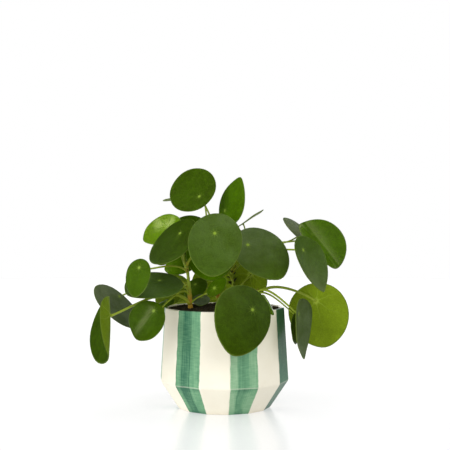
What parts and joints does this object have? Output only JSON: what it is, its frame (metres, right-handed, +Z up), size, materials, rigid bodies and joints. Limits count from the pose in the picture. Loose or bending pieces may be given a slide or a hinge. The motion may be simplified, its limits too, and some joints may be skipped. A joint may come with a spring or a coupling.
{
  "type": "potted pilea plant",
  "caption": "Houseplant with round, coin-like leaves on long petioles, rooted in soil in a faceted ceramic pot painted with upright stripes.",
  "frame": {"origin": "centre of the flat base that the pot stands on", "axes": "+Z up along the pot's centre line, -Y towards the viewer in front of the plant, +X to that viewer's right"},
  "size_m": [0.2995, 0.2342, 0.2781],
  "materials": {
    "glaze": "glossy cream glaze with hand-painted upright green stripes on every second facet",
    "potting_soil": "rough, dark, crumbly",
    "stem": "satin, yellow-green petioles on an orange-brown stem",
    "leaf": "satin to glossy deep green above, duller yellow-green below"
  },
  "bodies": {
    "root": {"pot": "glaze", "soil": "potting_soil", "stem_back": "stem", "stem_back_left": "stem", "stem_centre": "stem", "stem_left": "stem", "stem_right": "stem", "leaf_back_1": "leaf", "leaf_back_10": "leaf", "leaf_back_2": "leaf", "leaf_back_3": "leaf", "leaf_back_4": "leaf", "leaf_back_5": "leaf", "leaf_back_6": "leaf", "leaf_back_7": "leaf", "leaf_back_8": "leaf", "leaf_back_9": "leaf", "leaf_behind": "leaf", "leaf_behind_low": "leaf", "leaf_bud": "leaf", "leaf_far_left": "leaf", "leaf_far_right": "leaf", "leaf_far_right_edge": "leaf", "leaf_far_right_low": "leaf", "leaf_front": "leaf", "leaf_front_small": "leaf", "leaf_hanging_right": "leaf", "leaf_hanging_small": "leaf", "leaf_left": "leaf", "leaf_left_back": "leaf", "leaf_left_cupped": "leaf", "leaf_left_grey": "leaf", "leaf_left_low": "leaf", "leaf_low_middle": "leaf", "leaf_middle": "leaf", "leaf_ribbed": "leaf", "leaf_right": "leaf", "leaf_rim_left": "leaf", "leaf_shaded_left": "leaf", "leaf_small_grey": "leaf", "leaf_small_middle": "leaf", "leaf_top": "leaf", "leaf_top_flat": "leaf", "leaf_top_right": "leaf", "leaf_under": "leaf", "leaf_young": "leaf"}
  },
  "joints": []
}
